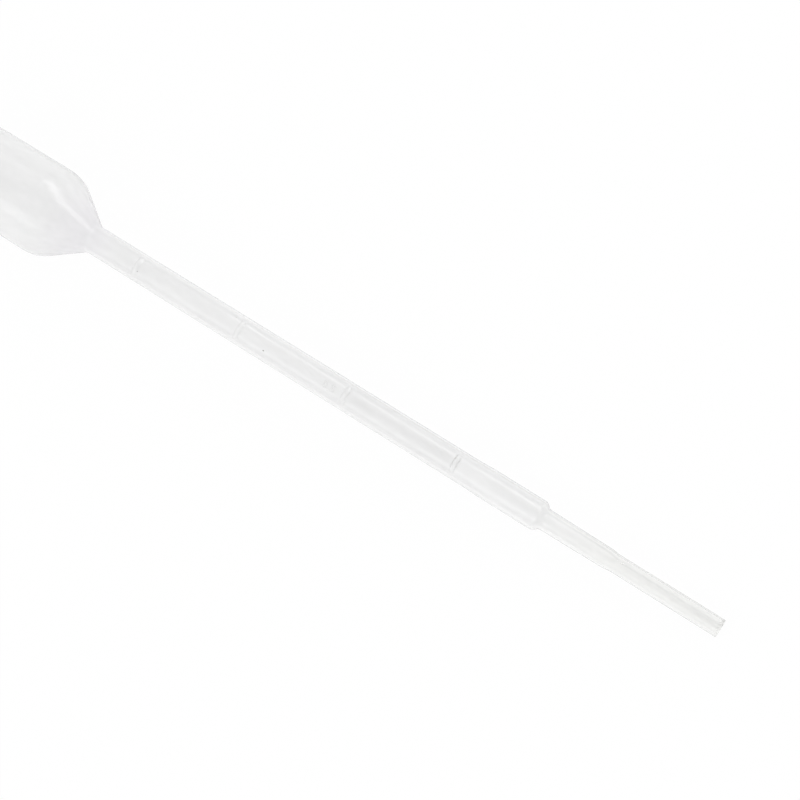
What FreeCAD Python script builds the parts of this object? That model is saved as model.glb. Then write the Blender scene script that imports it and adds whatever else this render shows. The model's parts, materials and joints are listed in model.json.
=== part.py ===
"""Transfer pipette with a large squeeze bulb, blow-moulded in one piece from soft polyethylene.

The bulb, the graduated stem, the shank and the open tip are one hollow solid. It is turned about
its axis from an outer and an inner half section, and the marks that the split mould leaves are
raised on it. It lies as it comes to rest on a table: on the rim of the bulb's shoulder and on the
lower edge of the tip, tip towards +X and graduations upwards, with the origin under its middle.
"""

import FreeCAD, Part
import math
import os

from FreeCAD import Vector

# Driving sizes, in millimetres and degrees.

# Lengths along the axis, from the dome of the bulb to the open end of the tip.
BULB_LENGTH = 38.7  # dome to neck, shoulder included
STEM_LENGTH = 84.8
FIRST_STEP_LENGTH = 1.6
SHANK_LENGTH = 10.4
SECOND_STEP_LENGTH = 1.8
TIP_LENGTH = 17.7

# Outside radii.
BULB_RADIUS = 7.65
STEM_RADIUS = 2.35
STEM_END_RADIUS = 2.44  # the stem swells a little before the first step
SHANK_RADIUS = 1.68
SHANK_END_RADIUS = 1.58
TIP_RADIUS = 1.42

# Walls: thin where the tube was blown out furthest.
BULB_WALL = 0.4
STEM_WALL = 0.45
SHANK_WALL = 0.45
TIP_WALL = 0.45

# Curves of the bulb and the neck.
DOME_CROWN_RADIUS = 10.0
DOME_CORNER_RADIUS = 5.0
SHOULDER_RADIUS = 6.5
SHOULDER_ANGLE = 34.3  # between the shoulder's cone and the axis
NECK_FILLET_RADIUS = 1.3

# The swelling at the stem's lower end.
STEM_END_LENGTH = 8.8
SWELL_LENGTH = 3.0

# Raised graduation bars, counted from the first step towards the bulb.
MARK_COUNT = 4
FIRST_MARK_FROM_STEP = 14.55
MARK_SPACING = 20.3
MARK_WIDTH = 0.9
MARK_HEIGHT = 0.15
MARK_HALF_SPAN = 40.0  # degrees each side of the top
MARK_ROOT = 0.2  # how deep a bar is seated in the wall

# What the mould leaves: a fine line where its halves meet, and the weld that shut the bulb.
PARTING_HEIGHT = 0.05
PARTING_WIDTH = 0.16
WELD_HEIGHT = 0.35
WELD_WIDTH = 0.7
WELD_LENGTH = 7.0

OVERRUN = 1.0  # how far a cutting solid reaches past the face it opens
SEAM_TURN = 3.6  # degrees from the lowest line to the seam, so that a mesh rests on a flat

# Stations along the axis, worked out from the lengths.
NECK_X = BULB_LENGTH
FIRST_STEP_X = NECK_X + STEM_LENGTH
SHANK_X = FIRST_STEP_X + FIRST_STEP_LENGTH
SECOND_STEP_X = SHANK_X + SHANK_LENGTH
TIP_X = SECOND_STEP_X + SECOND_STEP_LENGTH
END_X = TIP_X + TIP_LENGTH
SWELL_X = FIRST_STEP_X - STEM_END_LENGTH - SWELL_LENGTH

CENTRE = Vector(0, 0, 0)
X_AXIS = Vector(1, 0, 0)
Y_AXIS = Vector(0, 1, 0)


def line(start, end):
    """Straight edge between two (x, y) points of the half section."""
    return Part.LineSegment(Vector(*start, 0), Vector(*end, 0)).toShape()


def arc(centre, radius, start_angle, end_angle):
    """Edge along a circle of the half section, from one angle to another in degrees."""
    angles = (start_angle, (start_angle + end_angle) / 2, end_angle)
    points = [
        Vector(
            centre[0] + radius * math.cos(math.radians(angle)),
            centre[1] + radius * math.sin(math.radians(angle)),
            0,
        )
        for angle in angles
    ]
    return Part.Arc(*points).toShape()


def step_down(start, end, wall=0.0):
    """Two equal arcs that join two lengths of tube, each tangent to the axis at its far end.

    Inside the wall the outer arc turns tighter and the inner one wider by the wall, so that the
    wall keeps its thickness round the step.
    """
    length = end[0] - start[0]
    drop = start[1] - end[1]
    turn = math.degrees(2 * math.atan2(abs(drop), length))
    both_radii = (length**2 + drop**2) / (2 * abs(drop))
    side = math.copysign(1, drop)
    first = both_radii / 2 - side * wall
    second = both_radii - first
    first_centre = (start[0], start[1] - side * first)
    second_centre = (end[0], end[1] + side * second)
    return [
        arc(first_centre, first, side * 90, side * (90 - turn)),
        arc(second_centre, second, -side * (90 + turn), -side * 90),
    ]


def cylinder_end():
    """Station where the bulb's straight side meets its shoulder."""
    lean = math.radians(SHOULDER_ANGLE)
    both_radii = SHOULDER_RADIUS + NECK_FILLET_RADIUS
    cone_drop = BULB_RADIUS - STEM_RADIUS - both_radii * (1 - math.cos(lean))
    return NECK_X - both_radii * math.sin(lean) - cone_drop / math.tan(lean)


def dome(wall):
    """The bulb's closed end: a shallow crown and a tighter corner, tangent to each other."""
    crown = DOME_CROWN_RADIUS - wall
    corner = DOME_CORNER_RADIUS - wall
    corner_height = BULB_RADIUS - DOME_CORNER_RADIUS
    between_centres = DOME_CROWN_RADIUS - DOME_CORNER_RADIUS
    meeting = 180 - math.degrees(math.asin(corner_height / between_centres))
    corner_x = DOME_CROWN_RADIUS - math.sqrt(between_centres**2 - corner_height**2)
    side_start = (corner_x, corner_height + corner)
    edges = [
        arc((DOME_CROWN_RADIUS, 0), crown, 180, meeting),
        arc((corner_x, corner_height), corner, meeting, 90),
    ]
    return edges, side_start


def shoulder(bulb_wall, stem_wall):
    """The bulb's lower end: a round shoulder, a straight cone and the neck's fillet."""
    lean = math.radians(SHOULDER_ANGLE)
    outer = SHOULDER_RADIUS - bulb_wall
    fillet = NECK_FILLET_RADIUS + stem_wall
    outer_centre = (cylinder_end(), BULB_RADIUS - SHOULDER_RADIUS)
    stem_radius = STEM_RADIUS - stem_wall
    cone_top = outer_centre[1] + outer * math.cos(lean)
    cone_foot = stem_radius + fillet * (1 - math.cos(lean))
    cone_start = (outer_centre[0] + outer * math.sin(lean), cone_top)
    cone_end = (cone_start[0] + (cone_top - cone_foot) / math.tan(lean), cone_foot)
    neck = (cone_end[0] + fillet * math.sin(lean), stem_radius)
    edges = [
        arc(outer_centre, outer, 90, 90 - SHOULDER_ANGLE),
        line(cone_start, cone_end),
        arc((neck[0], stem_radius + fillet), fillet, -90 - SHOULDER_ANGLE, -90),
    ]
    return edges, neck


def half_section(bulb_wall, stem_wall, shank_wall, tip_wall, end_x=END_X):
    """Face between the axis and the outline that lies the given walls inside the pipette's skin.

    With walls of zero it is the outside of the pipette, with its real walls the cavity, and with
    negative walls a larger outline that stands proud of the skin.
    """
    dome_edges, side_start = dome(bulb_wall)
    shoulder_edges, neck = shoulder(bulb_wall, stem_wall)
    side_end = (cylinder_end(), BULB_RADIUS - bulb_wall)
    swell_start = (SWELL_X, STEM_RADIUS - stem_wall)
    swell_end = (SWELL_X + SWELL_LENGTH, STEM_END_RADIUS - stem_wall)
    stem_end = (FIRST_STEP_X, STEM_END_RADIUS - stem_wall)
    shank_start = (SHANK_X, SHANK_RADIUS - shank_wall)
    shank_end = (SECOND_STEP_X, SHANK_END_RADIUS - shank_wall)
    tip_start = (TIP_X, TIP_RADIUS - tip_wall)
    tip_end = (end_x, TIP_RADIUS - tip_wall)
    edges = [
        *dome_edges,
        line(side_start, side_end),
        *shoulder_edges,
        line(neck, swell_start),
        *step_down(swell_start, swell_end, stem_wall),
        line(swell_end, stem_end),
        *step_down(stem_end, shank_start, stem_wall),
        line(shank_start, shank_end),
        *step_down(shank_end, tip_start, shank_wall),
        line(tip_start, tip_end),
        line(tip_end, (end_x, 0)),
        line((end_x, 0), (bulb_wall, 0)),
    ]
    return Part.Face(Part.Wire(edges))


def turned(face):
    """Solid of revolution of a half section, with its seam beside the line it lies on."""
    solid = face.revolve(CENTRE, X_AXIS, 360)
    solid.rotate(CENTRE, X_AXIS, SEAM_TURN - 90)
    return solid


def parting_plate(height, width):
    """Thin plate in the mould's parting plane that stands proud of the skin all the way round."""
    half = half_section(-height, -height, -height, -height)
    plate = half.extrude(Vector(0, 0, width))
    plate.translate(Vector(0, 0, -width / 2))
    return plate.fuse(plate.mirror(CENTRE, Y_AXIS))


def dome_weld():
    """Raised weld across the dome, where the mould pinched the tube shut."""
    reach = Part.makeCylinder(WELD_LENGTH / 2, DOME_CROWN_RADIUS, Vector(-OVERRUN, 0, 0), X_AXIS)
    return parting_plate(WELD_HEIGHT, WELD_WIDTH).common(reach)


def graduation_bar(station):
    """Rounded bar across the top of the stem, turned through its span about the axis."""
    left = station - MARK_WIDTH / 2
    right = station + MARK_WIDTH / 2
    root = STEM_RADIUS - MARK_ROOT
    crest = Part.Arc(
        Vector(left, STEM_RADIUS, 0),
        Vector(station, STEM_RADIUS + MARK_HEIGHT, 0),
        Vector(right, STEM_RADIUS, 0),
    ).toShape()
    outline = [
        line((left, root), (left, STEM_RADIUS)),
        crest,
        line((right, STEM_RADIUS), (right, root)),
        line((right, root), (left, root)),
    ]
    profile = Part.Face(Part.Wire(outline))
    profile.rotate(CENTRE, X_AXIS, 90 - MARK_HALF_SPAN)
    return profile.revolve(CENTRE, X_AXIS, 2 * MARK_HALF_SPAN)


def graduation_bars():
    """Every graduation bar, one volume step apart."""
    first = FIRST_STEP_X - FIRST_MARK_FROM_STEP
    return [graduation_bar(first - MARK_SPACING * number) for number in range(MARK_COUNT)]


def rest_angle():
    """Angle between the axis and the table when the shoulder's rim and the tip's edge touch it.

    The table's line is tangent to the shoulder's arc and passes through the tip's lower corner.
    """
    along = END_X - cylinder_end()
    across = TIP_RADIUS - (BULB_RADIUS - SHOULDER_RADIUS)
    reach = math.hypot(along, across)
    return math.degrees(math.asin(SHOULDER_RADIUS / reach) - math.atan2(across, along))


def laid_down(solid):
    """The solid tipped to its rest angle, with the origin on the table under its middle."""
    solid.rotate(CENTRE, Y_AXIS, rest_angle())
    box = solid.optimalBoundingBox(False)
    solid.translate(Vector(-box.Center.x, -box.Center.y, -box.ZMin))
    return solid


def pipette():
    """The whole pipette: skin, mould marks and graduations, hollowed from dome to tip."""
    skin = turned(half_section(0, 0, 0, 0))
    raised = [parting_plate(PARTING_HEIGHT, PARTING_WIDTH), dome_weld(), *graduation_bars()]
    cavity = turned(half_section(BULB_WALL, STEM_WALL, SHANK_WALL, TIP_WALL, END_X + OVERRUN))
    body = skin.fuse(raised).cut(cavity)
    return laid_down(body)


def main():
    """Build the pipette and write its STEP file."""
    os.makedirs("parts", exist_ok=True)
    body = pipette()
    body.exportStep("parts/pipette.step")
    print(f"rest angle {rest_angle():.3f} degrees, volume {body.Volume:.1f} mm3")


if __name__ == "__main__":
    main()
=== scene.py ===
"""Looks of a soft one-piece transfer pipette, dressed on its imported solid.

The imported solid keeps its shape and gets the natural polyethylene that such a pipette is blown
from. Around it come the small things that the solid leaves out: the sharp edges of the graduation
bars, the raised numerals beside the second one, the burr that the trimming knife leaves at the
open tip, and the specks in the wall. It lies on a white table, in the soft light of a pale studio.
"""

import json
import logging
import math
from collections.abc import Sequence
from dataclasses import dataclass
from enum import Enum

import bpy
import numpy as np
from mathutils import Matrix, Vector


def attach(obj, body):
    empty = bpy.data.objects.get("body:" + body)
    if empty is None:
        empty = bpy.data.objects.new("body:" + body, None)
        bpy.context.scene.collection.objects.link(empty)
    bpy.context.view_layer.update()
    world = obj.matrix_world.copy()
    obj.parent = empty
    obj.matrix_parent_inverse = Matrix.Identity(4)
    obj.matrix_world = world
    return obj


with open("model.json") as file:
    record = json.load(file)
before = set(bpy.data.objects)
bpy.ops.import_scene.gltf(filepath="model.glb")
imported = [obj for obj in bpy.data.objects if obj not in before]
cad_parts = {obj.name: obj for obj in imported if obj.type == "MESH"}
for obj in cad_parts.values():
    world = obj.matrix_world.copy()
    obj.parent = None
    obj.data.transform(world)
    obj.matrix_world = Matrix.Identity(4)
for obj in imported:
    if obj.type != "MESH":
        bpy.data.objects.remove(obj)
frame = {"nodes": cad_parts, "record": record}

LOG = logging.getLogger("pipette")
MM = 0.001
SAME_PLACE = 1e-6  # points nearer to each other than this are one
RING_SIDES = 12  # points round the section of a ridge or a burr
CAP_RINGS = 4  # rings that round off the end of a ridge

Grid = tuple[np.ndarray, np.ndarray]


class Engraving(Enum):
    """How sharply the mould still marks the wall: the height of its ridges in millimetres."""

    CRISP = 0.26
    SOFTENED = 0.13
    SHALLOW = 0.06
    WORN = 0.012


class WallPattern(Enum):
    """Patterns that moulding leaves in the wall: their size along, across and up in millimetres."""

    DIE_LINES = (22.0, 0.55, 0.55)
    BLOWN_RIPPLE = (9.0, 3.2, 3.2)


def linear(code: str) -> tuple[float, float, float, float]:
    """Turn an sRGB hex colour into the linear colour that a shader takes.

    Args:
        code: Six hex digits after a number sign.

    Returns:
        Red, green, blue and an alpha of 1.
    """
    channels = np.array([int(code[i : i + 2], 16) for i in (1, 3, 5)]) / 255
    low, high = channels / 12.92, ((channels + 0.055) / 1.055) ** 2.4
    return (*np.where(channels <= 0.04045, low, high).tolist(), 1.0)


def mesh_object(name: str, points: np.ndarray, faces: np.ndarray) -> bpy.types.Object:
    """Put points and faces into a smooth mesh whose object stands at the origin.

    Args:
        name: Name of the piece.
        points: One row of x, y and z in metres for each vertex.
        faces: One row of vertex numbers for each face.

    Returns:
        The new object, linked to the scene.
    """
    mesh = bpy.data.meshes.new(name)
    mesh.from_pydata(points.tolist(), [], faces.tolist())
    mesh.polygons.foreach_set("use_smooth", np.ones(len(mesh.polygons), bool))
    mesh.validate()
    mesh.update()
    piece = bpy.data.objects.new(name, mesh)
    bpy.context.scene.collection.objects.link(piece)
    return piece


def joined(parts: Sequence[Grid]) -> Grid:
    """Lay several meshes one after another in a single pair of arrays.

    Args:
        parts: Points and faces of each mesh.

    Returns:
        All points, and all faces with their numbers moved on.
    """
    counts = [len(points) for points, _ in parts]
    starts = np.concatenate([[0], np.cumsum(counts)[:-1]])
    faces = [numbers + start for (_, numbers), start in zip(parts, starts)]
    return np.vstack([points for points, _ in parts]), np.vstack(faces)


def node(
    tree: bpy.types.NodeTree,
    kind: str,
    settings: dict[str, object] | None = None,
    values: dict[str | int, object] | None = None,
    links: dict[str | int, bpy.types.NodeSocket] | None = None,
) -> bpy.types.Node:
    """Add one shader node.

    Args:
        tree: Node tree that it goes into.
        kind: Blender's name for its type.
        settings: Properties of the node itself.
        values: Values for its input sockets, by name or number.
        links: Output sockets that feed its inputs, by name or number.

    Returns:
        The new node.
    """
    made = tree.nodes.new(kind)
    for key, value in (settings or {}).items():
        setattr(made, key, value)
    for key, value in (values or {}).items():
        made.inputs[key].default_value = value
    for key, source in (links or {}).items():
        tree.links.new(source, made.inputs[key])
    return made


def new_material(name: str) -> tuple[bpy.types.Material, bpy.types.NodeTree]:
    """Start a node material with an empty tree.

    Args:
        name: Name of the material.

    Returns:
        The material and its tree.
    """
    material = bpy.data.materials.new(name)
    material.use_nodes = True
    material.node_tree.nodes.clear()
    return material, material.node_tree


@dataclass(frozen=True)
class TubeAxis:
    """The pipette's own axis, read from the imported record, with polar places round it."""

    mouth: Vector
    along: Vector

    @classmethod
    def from_record(cls, record: dict) -> "TubeAxis":
        """Read the axis from the mount at the outside of the tip.

        Args:
            record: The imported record.

        Returns:
            The axis, from the open end of the tip.
        """
        mount = next(m for m in record["mounts"] if m["name"] == "tip_outside")
        return cls(Vector(mount["pos_m"]), Vector(mount["axis"]).normalized())

    @property
    def across(self) -> Vector:
        """Level direction across the pipette."""
        return Vector((0, 0, 1)).cross(self.along).normalized()

    @property
    def up(self) -> Vector:
        """Direction from the axis through the graduations."""
        return self.along.cross(self.across).normalized()

    @property
    def dip(self) -> float:
        """Angle by which the axis dips towards the tip, in radians."""
        return math.asin(-self.along.z)

    def place(self, back: np.ndarray, turn: np.ndarray, radius: np.ndarray) -> np.ndarray:
        """Turn cylinder places into points.

        Formula: point = mouth - back * along + radius * (cos(turn) * up + sin(turn) * across).

        Args:
            back: Distances behind the mouth, in millimetres.
            turn: Angles from the top towards the +Y side, in radians.
            radius: Distances from the axis, in millimetres.

        Returns:
            Points in metres, one row each.
        """
        back, turn, radius = (np.ravel(a)[:, None] for a in np.broadcast_arrays(back, turn, radius))
        spokes = np.cos(turn) * np.array(self.up) + np.sin(turn) * np.array(self.across)
        return np.array(self.mouth) + MM * (radius * spokes - back * np.array(self.along))


@dataclass(frozen=True)
class Station:
    """The resin at one place along the pipette; between two places it changes evenly."""

    back: float  # behind the mouth, in millimetres
    colour_hex: str
    clear: float  # share of the light that a wall lets through unscattered
    satin: float  # roughness of its skin
    relief: float  # strength of the ripple in its skin


@dataclass(frozen=True)
class PaintedShadeLine:
    """A painted grey line of shade along the wall. It stands for the dark lines that the table's
    shade makes where the wall refracts it, and is not part of the resin.
    """

    half_width: float  # in degrees round the axis
    course: tuple[tuple[float, float, float], ...]  # behind the mouth, turn from the top, darkness


@dataclass(frozen=True)
class NaturalPolyethylene:
    """Low-density polyethylene with no colour added, blow-moulded to a satin wall.

    To the eye it is a pale, see-through milk: part of the light comes straight through the wall
    from the white table, and the rest is scattered where it enters the wall, which greys the table
    a little and takes its shade from the light in the room. The glossy tip is the clearest, the
    satin bulb is milkier, and the fresh cut round the mouth is milky and dull.
    """

    ior: float = 1.51
    stations: tuple[Station, ...] = (
        Station(0.0, "#F4F4F2", 0.34, 0.20, 0.06),
        Station(0.05, "#F4F4F2", 0.34, 0.20, 0.06),
        Station(0.12, "#FFFFFE", 0.70, 0.04, 0.06),
        Station(18.0, "#FFFFFE", 0.70, 0.04, 0.06),
        Station(33.0, "#FFFFFF", 0.60, 0.08, 0.16),
        Station(60.0, "#FCFCFC", 0.45, 0.12, 0.20),
        Station(112.0, "#FCFCFC", 0.45, 0.13, 0.20),
        Station(119.0, "#FDFCFE", 0.45, 0.12, 0.12),
        Station(124.0, "#FEFEFE", 0.45, 0.11, 0.12),
    )
    # Painted shade: dark lines near the +Y and -Y limbs of the tip and stem and in the tip's bore,
    # and a broad darker band over the stem from 46 to 67 mm behind the mouth.
    painted_shade_lines: tuple[PaintedShadeLine, ...] = (
        PaintedShadeLine(
            13.0,
            (
                (0.0, 66.0, 0.20),
                (17.0, 66.0, 0.18),
                (24.0, 66.0, 0.16),
                (58.0, 62.0, 0.13),
                (80.0, 62.0, 0.0),
            ),
        ),
        PaintedShadeLine(
            13.0, ((0.0, 25.0, 0.13), (17.0, 26.0, 0.13), (20.0, 44.0, 0.09), (34.0, 44.0, 0.0))
        ),
        PaintedShadeLine(12.0, ((0.0, -66.0, 0.14), (17.0, -66.0, 0.14), (20.0, -66.0, 0.0))),
        PaintedShadeLine(
            34.0, ((46.0, 6.0, 0.0), (47.5, 6.0, 0.045), (64.0, 6.0, 0.045), (67.0, 6.0, 0.0))
        ),
    )
    painted_shade_hex: str = "#000000"  # colour of the painted shade lines where their darkness is 1
    reach: float = 160.0  # how far behind the mouth the stations are spread, in millimetres
    mottle: float = 0.06  # how much the milk changes from place to place
    bump_height: float = 0.06  # of the relief, in millimetres, where a station's relief is 1
    octaves: float = 2.0  # layers of finer noise in a pattern
    octave_strength: float = 0.55  # of each layer against the one before
    line_noise: tuple[float, float] = (0.32, 0.70)  # noise between which the die's lines show
    line_satin: tuple[float, float] = (0.7, 1.7)  # what they multiply the satin by
    line_height: float = 0.25  # against the ripple's
    ripple_noise: tuple[float, float] = (0.35, 0.65)  # noise between which the mottle shows

    def build(self, axis: TubeAxis) -> bpy.types.Material:
        """Make the material.

        Args:
            axis: Axis of the pipette, which the die's lines follow.

        Returns:
            The material.
        """
        material, tree = new_material("natural_ldpe_blow_moulded")
        place = node(tree, "ShaderNodeTexCoord")
        level = node(
            tree,
            "ShaderNodeMapping",
            {"vector_type": "TEXTURE"},
            {"Location": axis.mouth, "Rotation": (0, axis.dip, 0)},
            {"Vector": place.outputs["Object"]},
        ).outputs[0]
        places = node(tree, "ShaderNodeSeparateXYZ", {}, {}, {"Vector": level}).outputs
        along = places["X"]
        lines = self._pattern(tree, level, WallPattern.DIE_LINES)
        ripple = self._pattern(tree, level, WallPattern.BLOWN_RIPPLE)
        shader = node(
            tree,
            "ShaderNodeBsdfPrincipled",
            {},
            {"IOR": self.ior},
            {
                "Base Color": self._colour(tree, places),
                "Roughness": self._roughness(tree, along, lines),
                "Transmission Weight": self._clearness(tree, along, ripple),
                "Normal": self._relief(tree, along, lines, ripple),
            },
        )
        node(tree, "ShaderNodeOutputMaterial", {}, {}, {"Surface": shader.outputs[0]})
        return material

    def _pattern(
        self, tree: bpy.types.NodeTree, level: bpy.types.NodeSocket, pattern: WallPattern
    ) -> bpy.types.NodeSocket:
        """Noise stretched to the size that a pattern has along, across and up.

        Args:
            tree: The material's node tree.
            level: Object coordinates turned on to the pipette's axis.
            pattern: Which pattern.

        Returns:
            The noise's value socket.
        """
        scaled = node(
            tree,
            "ShaderNodeMapping",
            {},
            {"Scale": tuple(1 / (size * MM) for size in pattern.value)},
            {"Vector": level},
        )
        return node(
            tree,
            "ShaderNodeTexNoise",
            {},
            {"Scale": 1.0, "Detail": self.octaves, "Roughness": self.octave_strength},
            {"Vector": scaled.outputs[0]},
        ).outputs[0]

    def _colour(
        self, tree: bpy.types.NodeTree, places: bpy.types.bpy_prop_collection
    ) -> bpy.types.NodeSocket:
        """The resin's colour, greyed along painted lines of shade that stand for the table's shade
        refracted by the wall.

        A line greys a place by its darkness times a smooth step of the distance between the
        place's turn, atan2(across, up) + pi, and the line's own turn there. Both count from
        straight below. Red of a course's ramp is the turn as a share of a full one, and green is
        the darkness.

        Args:
            tree: The material's node tree.
            places: Places along the axis, across it and up from it.

        Returns:
            The colour socket.
        """
        colour = self._spread(
            tree, places["X"], [(s.back, linear(s.colour_hex)) for s in self.stations]
        )
        top = node(
            tree, "ShaderNodeMath", {"operation": "ARCTAN2"}, {}, {0: places["Y"], 1: places["Z"]}
        ).outputs[0]
        turn = node(tree, "ShaderNodeMath", {"operation": "ADD"}, {1: math.pi}, {0: top}).outputs[0]
        # Each painted shade line greys the colour where the table's shade would show through the
        # wall.
        for line in self.painted_shade_lines:
            course = self._spread(
                tree,
                places["X"],
                [(back, (0.5 + turned / 360, dark, 0, 1)) for back, turned, dark in line.course],
            )
            own = node(tree, "ShaderNodeSeparateColor", {}, {}, {0: course}).outputs
            away = node(
                tree,
                "ShaderNodeMath",
                {"operation": "MULTIPLY_ADD"},
                {1: -2 * math.pi},
                {0: own["Red"], 2: turn},
            ).outputs[0]
            gap = node(tree, "ShaderNodeMath", {"operation": "ABSOLUTE"}, {}, {0: away}).outputs[0]
            grey = node(
                tree,
                "ShaderNodeMapRange",
                {"interpolation_type": "SMOOTHSTEP"},
                {"From Max": math.radians(line.half_width), "To Max": 0.0},
                {"Value": gap, "To Min": own["Green"]},
            ).outputs["Result"]
            colour = node(
                tree,
                "ShaderNodeMix",
                {"data_type": "RGBA"},
                {7: linear(self.painted_shade_hex)},
                {0: grey, 6: colour},
            ).outputs[2]
        return colour

    def _spread(
        self,
        tree: bpy.types.NodeTree,
        along: bpy.types.NodeSocket,
        marks: Sequence[tuple[float, tuple]],
    ) -> bpy.types.NodeSocket:
        """Spread colours or greys along the pipette.

        Args:
            tree: The material's node tree.
            along: Place along the axis, in metres and negative behind the mouth.
            marks: Distance behind the mouth in millimetres, and the colour there.

        Returns:
            The colour socket.
        """
        share = node(
            tree,
            "ShaderNodeMapRange",
            {},
            {"From Min": 0.0, "From Max": -self.reach * MM},
            {"Value": along},
        ).outputs["Result"]
        ramp = node(tree, "ShaderNodeValToRGB", {}, {}, {0: share})
        stops = ramp.color_ramp.elements
        stops.remove(stops[1])
        stops[0].position, stops[0].color = marks[0][0] / self.reach, marks[0][1]
        for back, colour in marks[1:]:
            stops.new(back / self.reach).color = colour
        return ramp.outputs["Color"]

    def _levels(
        self, tree: bpy.types.NodeTree, along: bpy.types.NodeSocket, name: str
    ) -> bpy.types.NodeSocket:
        """Spread one of the stations' numbers along the pipette, by its name."""
        marks = [(s.back, (*[getattr(s, name)] * 3, 1)) for s in self.stations]
        return self._spread(tree, along, marks)

    def _roughness(
        self, tree: bpy.types.NodeTree, along: bpy.types.NodeSocket, lines: bpy.types.NodeSocket
    ) -> bpy.types.NodeSocket:
        """Each station's satin, drawn out into finer and duller streaks by the die's lines.

        Args:
            tree: The material's node tree.
            along: Place along the axis.
            lines: The die's lines.

        Returns:
            The roughness socket.
        """
        satin = self._levels(tree, along, "satin")
        (low, high), (fine, dull) = self.line_noise, self.line_satin
        streak = node(
            tree,
            "ShaderNodeMapRange",
            {},
            {"From Min": low, "From Max": high, "To Min": fine, "To Max": dull},
            {"Value": lines},
        ).outputs["Result"]
        return node(
            tree, "ShaderNodeMath", {"operation": "MULTIPLY"}, {}, {0: satin, 1: streak}
        ).outputs[0]

    def _clearness(
        self, tree: bpy.types.NodeTree, along: bpy.types.NodeSocket, ripple: bpy.types.NodeSocket
    ) -> bpy.types.NodeSocket:
        """Each station's clearness with its mottle, on the side where light enters the wall only.

        Args:
            tree: The material's node tree.
            along: Place along the axis.
            ripple: The blown wall's ripple.

        Returns:
            The socket of the share that goes through.
        """
        station = self._levels(tree, along, "clear")
        (low, high), half = self.ripple_noise, self.mottle / 2
        mottle = node(
            tree,
            "ShaderNodeMapRange",
            {},
            {"From Min": low, "From Max": high, "To Min": -half, "To Max": half},
            {"Value": ripple},
        ).outputs["Result"]
        entering = node(
            tree,
            "ShaderNodeMath",
            {"operation": "ADD", "use_clamp": True},
            {},
            {0: station, 1: mottle},
        ).outputs[0]
        leaving = node(tree, "ShaderNodeNewGeometry").outputs["Backfacing"]
        return node(
            tree, "ShaderNodeMapRange", {}, {"To Max": 1.0}, {"Value": leaving, "To Min": entering}
        ).outputs["Result"]

    def _relief(
        self,
        tree: bpy.types.NodeTree,
        along: bpy.types.NodeSocket,
        lines: bpy.types.NodeSocket,
        ripple: bpy.types.NodeSocket,
    ) -> bpy.types.NodeSocket:
        """Fine relief of the skin: the die's lines, made lower, on top of the ripple.

        Args:
            tree: The material's node tree.
            along: Place along the axis.
            lines: The die's lines.
            ripple: The blown wall's ripple.

        Returns:
            The normal socket.
        """
        height = node(
            tree,
            "ShaderNodeMath",
            {"operation": "MULTIPLY_ADD"},
            {1: self.line_height},
            {0: lines, 2: ripple},
        ).outputs[0]
        strength = self._levels(tree, along, "relief")
        return node(
            tree,
            "ShaderNodeBump",
            {},
            {"Distance": self.bump_height * MM},
            {"Height": height, "Strength": strength},
        ).outputs["Normal"]


@dataclass(frozen=True)
class ScorchedResin:
    """Resin that hung in the extruder until it charred: dull brown-black crumbs in the wall."""

    colour_hex: str = "#55524C"
    pale_hex: str = "#8C887F"
    roughness: float = 0.6
    grain: float = 0.08  # in millimetres
    octaves: float = 2.0  # layers of finer noise in the grain

    def build(self) -> bpy.types.Material:
        """Make the material.

        Returns:
            The material.
        """
        material, tree = new_material("scorched_ldpe_speck")
        place = node(tree, "ShaderNodeTexCoord").outputs["Object"]
        grain = node(
            tree,
            "ShaderNodeTexNoise",
            {},
            {"Scale": 1 / (self.grain * MM), "Detail": self.octaves},
            {"Vector": place},
        ).outputs[0]
        colour = node(
            tree,
            "ShaderNodeMix",
            {"data_type": "RGBA"},
            {6: linear(self.colour_hex), 7: linear(self.pale_hex)},
            {0: grain},
        ).outputs[2]
        shader = node(
            tree,
            "ShaderNodeBsdfPrincipled",
            {},
            {"Roughness": self.roughness},
            {"Base Color": colour},
        )
        node(tree, "ShaderNodeOutputMaterial", {}, {}, {"Surface": shader.outputs[0]})
        return material


def round_angles(count: int) -> np.ndarray:
    """Angles of points evenly round a ring, in radians, as many as asked for."""
    return np.linspace(0, 2 * math.pi, count + 1)[:-1]


def curve(
    centre: tuple[float, float],
    radii: tuple[float, float],
    turn: tuple[float, float],
    step: float = 15.0,
) -> np.ndarray:
    """Points of an elliptical arc of a glyph.

    Formula: (x, y) = centre + (rx * cos(t), ry * sin(t)) for t from turn[0] to turn[1].

    Args:
        centre: Middle of the ellipse, in glyph units.
        radii: Half its width and half its height.
        turn: First and last angle, in degrees.
        step: Angle between two points, in degrees.

    Returns:
        One row for each point.
    """
    steps = round(abs(turn[1] - turn[0]) / step)
    t = np.radians(np.linspace(*turn, steps + 1))
    return np.column_stack([centre[0] + radii[0] * np.cos(t), centre[1] + radii[1] * np.sin(t)])


def path(*parts: Sequence) -> np.ndarray:
    """Join corner points and arcs into one stroke.

    Args:
        parts: Points, or arrays of points.

    Returns:
        One row for each point.
    """
    return np.vstack([np.atleast_2d(np.array(part, float)) for part in parts])


# How far the next character starts after each one, and the one's own strokes, both in units of
# its height.
GLYPHS: dict[str, tuple[float, list[np.ndarray]]] = {
    "0": (0.82, [curve((0.3, 0.5), (0.27, 0.46), (90, 450))]),
    "5": (
        0.82,
        [
            path(
                (0.53, 0.96),
                (0.12, 0.96),
                (0.08, 0.56),
                curve((0.28, 0.33), (0.27, 0.29), (120, -150)),
            )
        ],
    ),
    ".": (0.36, [path((0.08, 0.05), (0.10, 0.05))]),
}


@dataclass(frozen=True)
class Graduation:
    """One volume mark: its label, and how sharp its numerals and the edges of its bar are."""

    label: str
    numerals: Engraving | None  # None where nothing shows beside the bar
    edges: Engraving
    span: tuple[float, float] = (-20.0, 20.0)  # degrees from the top towards the +Y side


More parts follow.
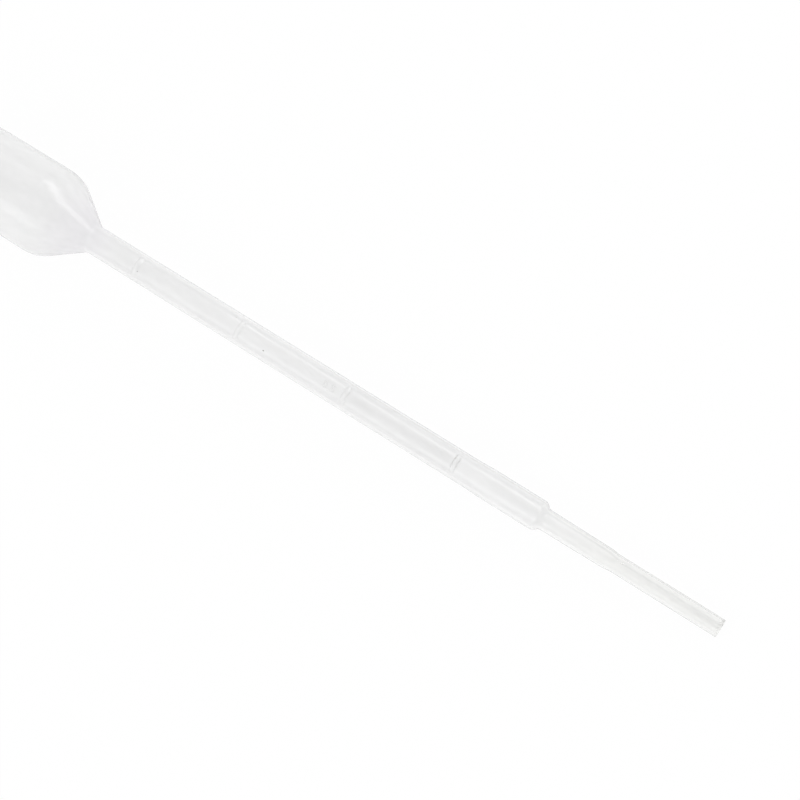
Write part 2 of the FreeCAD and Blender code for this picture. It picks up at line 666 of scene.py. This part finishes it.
@dataclass
class MouldedMarks:
    """What the mould's engraving adds to the solid's bars: their sharp edges and the numerals.

    Lengths are in millimetres.
    """

    axis: TubeAxis
    resin: bpy.types.Material
    stem_radius: float = 2.35
    first_bar: float = 46.05  # behind the mouth
    bar_spacing: float = 20.3
    bar_width: float = 0.9
    edge_width: float = 0.13
    edge_points: int = 25
    gap: float = 1.65  # between a bar and its label
    height: float = 1.15  # of the label
    stroke_width: float = 0.20
    root: float = 0.06  # how deep a ridge is seated in the wall
    pace: float = 0.6  # between two rings of a ridge, as a share of half its width
    fewest_paces: int = 6
    point_size: float = 0.02  # of the last ring of a ridge against the full section
    graduations: Sequence[Graduation] = (
        Graduation("0.25", None, Engraving.CRISP, (-16.0, 30.0)),
        Graduation("0.5", Engraving.SHALLOW, Engraving.SOFTENED, (-14.0, 22.0)),
        Graduation("0.75", None, Engraving.WORN),
        Graduation("1.0", None, Engraving.WORN),
    )

    def build(self) -> list[bpy.types.Object]:
        """Make the edges of every bar and its label.

        Returns:
            The pieces.
        """
        pieces = []
        for number, graduation in enumerate(self.graduations):
            bar = self.first_bar + number * self.bar_spacing
            name = graduation.label.replace(".", "")
            pieces.append(self._piece(f"bar_edges_{name}", self._edges(bar, graduation)))
            if graduation.numerals:
                pieces.append(self._piece(f"numeral_{name}", self._label(bar, graduation)))
        return pieces

    def _piece(self, name: str, ridges: Sequence[Grid]) -> bpy.types.Object:
        """Join ridges into one piece of resin.

        Args:
            name: Name of the piece.
            ridges: Points and faces of each ridge.

        Returns:
            The piece.
        """
        piece = mesh_object(name, *joined(ridges))
        piece.data.materials.append(self.resin)
        return piece

    def _edges(self, bar: float, graduation: Graduation) -> list[Grid]:
        """Fine ridges along both long edges of a bar.

        Args:
            bar: Where the bar's middle is behind the mouth.
            graduation: The mark.

        Returns:
            Points and faces of both ridges.
        """
        turn = np.radians(np.linspace(*graduation.span, self.edge_points))
        half = (self.bar_width - self.edge_width) / 2
        return [
            self._ridge(
                np.full_like(turn, bar + side), turn, self.edge_width, graduation.edges.value
            )
            for side in (-half, half)
        ]

    def _label(self, bar: float, graduation: Graduation) -> list[Grid]:
        """Set a label on the bulb's side of its bar, so that it reads towards the tip.

        Args:
            bar: Where the bar's middle is behind the mouth.
            graduation: The mark.

        Returns:
            Points and faces of every stroke.
        """
        widths = np.array([GLYPHS[letter][0] for letter in graduation.label])
        starts = np.concatenate([[0], np.cumsum(widths)[:-1]])
        start = bar + self.gap + widths.sum() * self.height
        strokes = [
            (stroke + [left, -0.5]) * self.height
            for letter, left in zip(graduation.label, starts)
            for stroke in GLYPHS[letter][1]
        ]
        return [
            self._ridge(
                start - flat[:, 0],
                flat[:, 1] / self.stem_radius,
                self.stroke_width,
                graduation.numerals.value,
            )
            for flat in strokes
        ]

    def _ridge(self, back: np.ndarray, turn: np.ndarray, width: float, relief: float) -> Grid:
        """Carry a half-round section along a stroke on the stem.

        The section at angle v stands at offset width / 2 * cos(v) across the stroke and at height
        relief * sin(v) over the stem, with its lower half a shallow root in the wall. Each end
        shrinks to a point over half a width, which rounds it off.

        Args:
            back: Distances of the stroke's points behind the mouth.
            turn: Their angles from the top of the stem.
            width: Width of the ridge.
            relief: Its height over the stem.

        Returns:
            Points and faces of the closed ridge.
        """
        flat = np.column_stack([-back, turn * self.stem_radius])
        flat = flat[np.r_[True, np.linalg.norm(np.diff(flat, axis=0), axis=1) > SAME_PLACE]]
        steps = np.linalg.norm(np.diff(flat, axis=0), axis=1)
        run = np.concatenate([[0], np.cumsum(steps)])
        half = width / 2
        closed = np.linalg.norm(flat[0] - flat[-1]) < SAME_PLACE
        count = max(self.fewest_paces, math.ceil(run[-1] / (self.pace * half)))
        u = np.linspace(0, run[-1], count + 1)
        mid = np.column_stack([np.interp(u, run, flat[:, k]) for k in (0, 1)])
        tangent = np.gradient(mid, axis=0)
        if closed:
            tangent[0] = tangent[-1] = mid[1] - mid[-2]
        tangent /= np.linalg.norm(tangent, axis=1)[:, None]
        size = np.ones(len(u))
        if not closed:
            caps = np.linspace(math.pi / 2, 0, CAP_RINGS + 1)[:-1]
            ahead = np.sin(caps)[:, None] * half
            mid = np.vstack([mid[0] - tangent[0] * ahead, mid, mid[-1] + tangent[-1] * ahead[::-1]])
            first, last = (np.repeat(end, CAP_RINGS, 0) for end in (tangent[:1], tangent[-1:]))
            tangent = np.vstack([first, tangent, last])
            size = np.concatenate([np.cos(caps), size, np.cos(caps)[::-1]])
            size[[0, -1]] = self.point_size
        v = round_angles(RING_SIDES)
        side = np.column_stack([-tangent[:, 1], tangent[:, 0]])
        offset = half * size[:, None] * np.cos(v)[None, :]
        lift = np.where(np.sin(v) > 0, relief, self.root) * np.sin(v) * size[:, None]
        along = mid[:, :1] + offset * side[:, :1]
        sideways = mid[:, 1:] + offset * side[:, 1:]
        points = self.axis.place(-along, sideways / self.stem_radius, self.stem_radius + lift)
        return points, tube_faces(len(mid), len(v), closed)


def tube_faces(rings: int, sides: int, closed: bool = False) -> np.ndarray:
    """Faces between the rings of a tube, as triangles, with its ends capped.

    Args:
        rings: How many rings there are.
        sides: How many points each ring has.
        closed: Whether the last ring lies on the first.

    Returns:
        One row of three vertex numbers for each face.
    """
    ring, side = np.meshgrid(np.arange(rings - 1), np.arange(sides), indexing="ij")
    a = (ring * sides + side).ravel()
    b = (ring * sides + (side + 1) % sides).ravel()
    c, d = b + sides, a + sides
    faces = [np.column_stack([a, b, c]), np.column_stack([a, c, d])]
    if closed:
        return np.vstack(faces)
    fan = np.arange(1, sides - 1)
    last = (rings - 1) * sides
    faces.append(np.column_stack([np.zeros_like(fan), fan + 1, fan]))
    faces.append(np.column_stack([np.full_like(fan, last), last + fan, last + fan + 1]))
    return np.vstack(faces)


@dataclass
class TipBurr:
    """The curl of resin that the trimming knife pushes up on one side of the open end.

    Lengths are in millimetres, and angles in degrees.
    """

    axis: TubeAxis
    resin: bpy.types.Material
    tip_radius: float = 1.42
    setback: float = 0.02  # from the cut
    length: float = 0.35  # along the tip
    height: float = 0.11
    middle: float = 62.0  # from the top towards the +Y side
    span: float = 74.0
    rings: int = 41
    thinnest: float = 0.0004  # square of its size at its ends against the middle's
    waves: tuple[tuple[float, float, float], ...] = ((0.22, 9.0, 0.6), (0.12, 23.0, 0.0))
    lean: float = 1.1  # how much of its height it reaches out at the cut
    lean_run: float = 0.45  # in which that would fall by 1

    def build(self) -> bpy.types.Object:
        """Make the burr.

        A thin crescent: with u across its span from -1 to 1 and a ring angle v, its size falls
        off as sqrt(1 - u^2). Its edge is ragged by waves of height h, number n and phase p, as
        1 + the sum of h * sin(n * u + p), and it leans outwards towards the cut.

        Returns:
            The piece.
        """
        u = np.linspace(-1, 1, self.rings)[:, None]
        v = round_angles(RING_SIDES)[None, :]
        swell = np.sqrt(np.clip(1 - u**2, self.thinnest, 1))
        ragged = 1.0
        for height, number, phase in self.waves:
            ragged = ragged + height * np.sin(number * u + phase)
        turn = np.radians(self.middle + u * self.span / 2)
        back = self.setback + self.length * swell * (0.5 + 0.5 * np.cos(v))
        rise = self.height * swell * ragged
        lean = self.lean - back / self.lean_run
        radius = self.tip_radius + rise * (0.5 + 0.5 * np.sin(v)) * lean
        points = self.axis.place(back, turn, radius)
        piece = mesh_object("tip_burr", points, tube_faces(len(u), v.size))
        piece.data.materials.append(self.resin)
        return piece


@dataclass(frozen=True)
class Speck:
    """One crumb in the wall: where it lies and how large it is, in millimetres and degrees."""

    back: float
    turn: float
    size: tuple[float, float, float]  # along, round and through the wall
    seed: int


@dataclass
class WallSpecks:
    """Charred crumbs in the wall of the stem."""

    axis: TubeAxis
    scorched: bpy.types.Material
    depth_radius: float = 2.33  # at which they lie, just under the skin, in millimetres
    rings: int = 11
    sides: int = 14
    pole: float = 0.02  # how far the first and last ring stay from a pole, in radians
    lumps: tuple[float, float] = (0.16, 0.10)  # heights of the two waves
    specks: Sequence[Speck] = (
        Speck(81.4, -17.0, (0.26, 0.20, 0.12), 3),
        Speck(106.4, -14.0, (0.18, 0.13, 0.10), 5),
        Speck(88.2, 40.0, (0.13, 0.10, 0.08), 8),
        Speck(60.5, -128.0, (0.16, 0.12, 0.10), 13),
    )

    def build(self) -> bpy.types.Object:
        """Make all crumbs as one piece.

        Returns:
            The piece.
        """
        points, faces = joined([self._crumb(speck) for speck in self.specks])
        piece = mesh_object("wall_specks", points, faces)
        piece.data.materials.append(self.scorched)
        return piece

    def _crumb(self, speck: Speck) -> Grid:
        """A lumpy ball: the unit sphere times 1 + two low waves, scaled to the speck's size.

        Formula: with u from pole to pole and v round them, the waves are sin(3 v + p) * sin(u)
        and sin(2 v + 4 u + q) * sin(u), for random phases p and q.

        Args:
            speck: The crumb.

        Returns:
            Its points and faces.
        """
        u = np.linspace(self.pole, math.pi - self.pole, self.rings)[:, None]
        v = round_angles(self.sides)[None, :]
        p, q = np.random.default_rng(speck.seed).uniform(0, 2 * math.pi, 2)
        lumps = 1 + self.lumps[0] * np.sin(3 * v + p) * np.sin(u)
        lumps = lumps + self.lumps[1] * np.sin(2 * v + 4 * u + q) * np.sin(u)
        sphere = (np.cos(u), np.sin(u) * np.cos(v), np.sin(u) * np.sin(v))
        x, y, z = (0.5 * size * lumps * wave for size, wave in zip(speck.size, sphere))
        points = self.axis.place(
            speck.back - x, math.radians(speck.turn) + y / self.depth_radius, self.depth_radius + z
        )
        return points, tube_faces(len(u), v.size)


@dataclass(frozen=True)
class WhiteTable:
    """A matt white table, seen as pure white where nothing shades it."""

    colour_hex: str = "#FAFAFA"
    roughness: float = 0.3
    shading_share: float = 0.03  # how much of the shade that falls on it stays in sight
    shading_through: float = 0.45  # and in a mirror or through resin
    grain: float = 0.8  # in millimetres, as is its height
    grain_height: float = 0.02
    grain_strength: float = 0.1
    octaves: float = 3.0  # layers of finer noise in the grain

    def build(self) -> bpy.types.Material:
        """Make the material.

        Returns:
            The material.
        """
        material, tree = new_material("matt_white_table")
        place = node(tree, "ShaderNodeTexCoord").outputs["Object"]
        grain = node(
            tree,
            "ShaderNodeTexNoise",
            {},
            {"Scale": 1 / (self.grain * MM), "Detail": self.octaves},
            {"Vector": place},
        ).outputs[0]
        bump = node(
            tree,
            "ShaderNodeBump",
            {},
            {"Strength": self.grain_strength, "Distance": self.grain_height * MM},
            {"Height": grain},
        ).outputs["Normal"]
        matt = node(
            tree,
            "ShaderNodeBsdfDiffuse",
            {},
            {"Color": linear(self.colour_hex), "Roughness": self.roughness},
            {"Normal": bump},
        ).outputs[0]
        white = node(tree, "ShaderNodeEmission", {}, {"Strength": 1.0}).outputs[0]
        resin = Studio.chosen(tree, Studio.by_resin(tree), 0.0, 1 - self.shading_through)
        straight = node(tree, "ShaderNodeLightPath").outputs["Is Camera Ray"]
        seen = Studio.chosen(tree, straight, resin, 1 - self.shading_share)
        mixed = node(tree, "ShaderNodeMixShader", {}, {}, {0: seen, 1: matt, 2: white}).outputs[0]
        node(tree, "ShaderNodeOutputMaterial", {}, {}, {"Surface": mixed})
        return material


@dataclass(frozen=True)
class SoftLamp:
    """One large soft lamp, placed round the middle of the stem."""

    name: str
    azimuth: float  # from the +X side towards the +Y side, in degrees
    elevation: float  # in degrees
    distance: float  # in metres, as is its size
    size: tuple[float, float]
    power: float  # in watts


@dataclass(frozen=True)
class RoomBand:
    """One long band of the room above the table, level with the pipette."""

    angle: float  # from straight above towards the +Y side, in degrees
    brightness: float  # as the resin shows it; the walls are white


@dataclass(frozen=True)
class Viewpoint:
    """The camera: where it stands and what it looks at, in millimetres and degrees."""

    place: tuple[float, float, float] = (75.011, 14.139, 216.946)
    aim: tuple[float, float, float] = (18.578, 3.877, 3.912)
    roll: float = -68.882
    focal_length: float = 63.765
    film_width: float = 36.0
    sight: tuple[float, float] = (0.01, 10.0)  # nearest and farthest that it sees, in metres

    def build(self) -> None:
        """Make the camera and put it into the scene."""
        data = bpy.data.cameras.new("viewpoint")
        data.lens = self.focal_length
        data.sensor_width = self.film_width
        data.clip_start, data.clip_end = self.sight
        camera = bpy.data.objects.new("viewpoint", data)
        bpy.context.scene.collection.objects.link(camera)
        level = (Vector(self.aim) - Vector(self.place)).to_track_quat("-Z", "Y").to_matrix()
        turned = level @ Matrix.Rotation(math.radians(self.roll), 3, "Z")
        camera.matrix_world = Matrix.Translation(Vector(self.place) * MM) @ turned.to_4x4()
        bpy.context.scene.camera = camera


@dataclass
class Studio:
    """White table, pale room and soft lamps round the pipette."""

    table: WhiteTable = WhiteTable()
    viewpoint: Viewpoint = Viewpoint()
    table_size: float = 3.0  # in metres
    room_hex: str = "#FFFFFF"
    room_left: float = 0.965  # light that the room throws on things from its -Y side
    room_right: float = 0.70  # and from its +Y side
    bounces: int = 24  # of light that goes through walls, twice those of other light
    lamp_centre: tuple[float, float, float] = (0.02, 0.0, 0.0)  # that the lamps face, in metres
    lamps: Sequence[SoftLamp] = (
        SoftLamp("window", -95.0, 45.0, 0.9, (1.4, 0.4), 1.5),
        SoftLamp("low_strip", 90.0, 15.0, 0.9, (1.4, 0.4), 0.9),
        SoftLamp("strip", 75.0, 32.0, 0.9, (1.2, 0.26), 1.4),
    )
    bands: Sequence[RoomBand] = (
        RoomBand(-72.0, 1.0),
        RoomBand(-56.0, 0.7),
        RoomBand(-34.0, 1.0),
        RoomBand(-10.0, 1.0),
        RoomBand(11.0, 0.75),
        RoomBand(33.0, 0.9),
        RoomBand(60.0, 0.95),
        RoomBand(78.0, 0.2),
    )

    @staticmethod
    def by_resin(tree: bpy.types.NodeTree) -> bpy.types.NodeSocket:
        """One for rays that a surface mirrors or lets through, and else 0.

        Args:
            tree: Node tree that it goes into.

        Returns:
            The value socket.
        """
        ray = node(tree, "ShaderNodeLightPath").outputs
        return node(
            tree,
            "ShaderNodeMath",
            {"operation": "MAXIMUM"},
            {},
            {0: ray["Is Glossy Ray"], 1: ray["Is Transmission Ray"]},
        ).outputs[0]

    @staticmethod
    def chosen(
        tree: bpy.types.NodeTree,
        choice: bpy.types.NodeSocket,
        at_zero: bpy.types.NodeSocket | float,
        at_one: bpy.types.NodeSocket | float,
    ) -> bpy.types.NodeSocket:
        """One value where a choice is 1, and another where it is 0.

        Args:
            tree: Node tree that it goes into.
            choice: Socket of 0 or 1.
            at_zero: Value or socket for 0.
            at_one: Value or socket for 1.

        Returns:
            The value socket.
        """
        ends = {"To Min": at_zero, "To Max": at_one}
        values = {name: end for name, end in ends.items() if isinstance(end, float)}
        links = {name: end for name, end in ends.items() if not isinstance(end, float)}
        picked = node(tree, "ShaderNodeMapRange", {}, values, {"Value": choice, **links})
        return picked.outputs["Result"]

    def build(self) -> None:
        """Make the table, the room, the lamps and the camera."""
        self._floor()
        self._room()
        for lamp in self.lamps:
            self._lamp(lamp)
        self.viewpoint.build()
        bpy.context.scene.view_settings.view_transform = "Standard"
        self._light_paths()

    def _light_paths(self) -> None:
        """Let light pass through many thin walls before it is given up."""
        cycles = bpy.context.scene.cycles
        cycles.max_bounces, cycles.transmission_bounces = self.bounces, self.bounces
        cycles.diffuse_bounces, cycles.glossy_bounces = self.bounces // 2, self.bounces // 2

    def _floor(self) -> None:
        """Lay the table under the pipette."""
        half = self.table_size / 2
        corners = np.array([[-half, -half, 0], [half, -half, 0], [half, half, 0], [-half, half, 0]])
        floor = mesh_object("table", corners, np.array([[0, 1, 2, 3]]))
        floor.data.materials.append(self.table.build())

    def _room(self) -> None:
        """Light the pipette from a pale room that is itself seen as white.

        Mirrored or seen through resin, it shows its bands: the place along them is the angle
        atan2(y, z) of the direction, from one horizon over the zenith to the other.
        """
        world = bpy.data.worlds.new("pale_room")
        world.use_nodes = True
        tree = world.node_tree
        tree.nodes.clear()
        towards = node(tree, "ShaderNodeTexCoord").outputs["Generated"]
        side = node(tree, "ShaderNodeSeparateXYZ", {}, {}, {"Vector": towards}).outputs
        angle = node(
            tree, "ShaderNodeMath", {"operation": "ARCTAN2"}, {}, {0: side["Y"], 1: side["Z"]}
        ).outputs[0]
        place = node(
            tree,
            "ShaderNodeMapRange",
            {},
            {"From Min": -math.pi / 2, "From Max": math.pi / 2},
            {"Value": angle},
        ).outputs["Result"]
        ramp = node(tree, "ShaderNodeValToRGB", {}, {}, {0: place})
        stops = ramp.color_ramp.elements
        stops.remove(stops[1])
        stops[0].position, stops[0].color = 0.0, (1, 1, 1, 1)
        for band in self.bands:
            stops.new(0.5 + band.angle / 180).color = (*[band.brightness] * 3, 1)
        left, right = self.room_left, self.room_right
        walls = node(
            tree,
            "ShaderNodeMapRange",
            {},
            {"From Min": -1.0, "From Max": 1.0, "To Min": left, "To Max": right},
            {"Value": side["Y"]},
        ).outputs["Result"]
        lit = self.chosen(tree, self.by_resin(tree), walls, ramp.outputs["Color"])
        straight = node(tree, "ShaderNodeLightPath").outputs["Is Camera Ray"]
        strength = self.chosen(tree, straight, lit, 1.0)
        white = linear(self.room_hex)
        sky = node(tree, "ShaderNodeBackground", {}, {"Color": white}, {"Strength": strength})
        node(tree, "ShaderNodeOutputWorld", {}, {}, {"Surface": sky.outputs[0]})
        bpy.context.scene.world = world

    def _lamp(self, lamp: SoftLamp) -> None:
        """Hang one lamp.

        Its direction is (cos(a) * cos(e), sin(a) * cos(e), sin(e)) for azimuth a and elevation e.

        Args:
            lamp: Its place, size and power.
        """
        data = bpy.data.lights.new(lamp.name, "AREA")
        data.shape = "RECTANGLE"
        data.size, data.size_y = lamp.size
        data.energy = lamp.power
        light = bpy.data.objects.new(lamp.name, data)
        bpy.context.scene.collection.objects.link(light)
        turn, rise = math.radians(lamp.azimuth), math.radians(lamp.elevation)
        level = math.cos(rise)
        spoke = Vector((math.cos(turn) * level, math.sin(turn) * level, math.sin(rise)))
        place = Vector(self.lamp_centre) + spoke * lamp.distance
        facing = (-spoke).to_track_quat("-Z", "Y").to_matrix().to_4x4()
        light.matrix_world = Matrix.Translation(place) @ facing


@dataclass
class Pipette:
    """The whole pipette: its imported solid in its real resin, and what is added to it."""

    record: dict
    nodes: dict[str, bpy.types.Object]
    resin: NaturalPolyethylene = NaturalPolyethylene()
    scorched: ScorchedResin = ScorchedResin()

    def build(self) -> None:
        """Dress the solid and add the small pieces to it."""
        axis = TubeAxis.from_record(self.record)
        resin = self.resin.build(axis)
        body = self.nodes["pipette"]
        body.data.materials.clear()
        body.data.materials.append(resin)
        LOG.info("pipette: packed solid with %d faces", len(body.data.polygons))
        self._take(MouldedMarks(axis, resin).build())
        self._take([TipBurr(axis, resin).build()])
        self._take([WallSpecks(axis, self.scorched.build()).build()])

    def _take(self, pieces: Sequence[bpy.types.Object]) -> None:
        """Parent new pieces to the empty of the root body and report them.

        Args:
            pieces: The new pieces.
        """
        for piece in pieces:
            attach(piece, "root")
            LOG.info("%s: %d faces", piece.name, len(piece.data.polygons))


def main() -> None:
    """Build the pipette and the studio."""
    logging.basicConfig(level=logging.INFO, format="%(name)s %(message)s")
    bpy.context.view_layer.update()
    Pipette(frame["record"], frame["nodes"]).build()
    Studio().build()


if __name__ == "__main__":
    main()
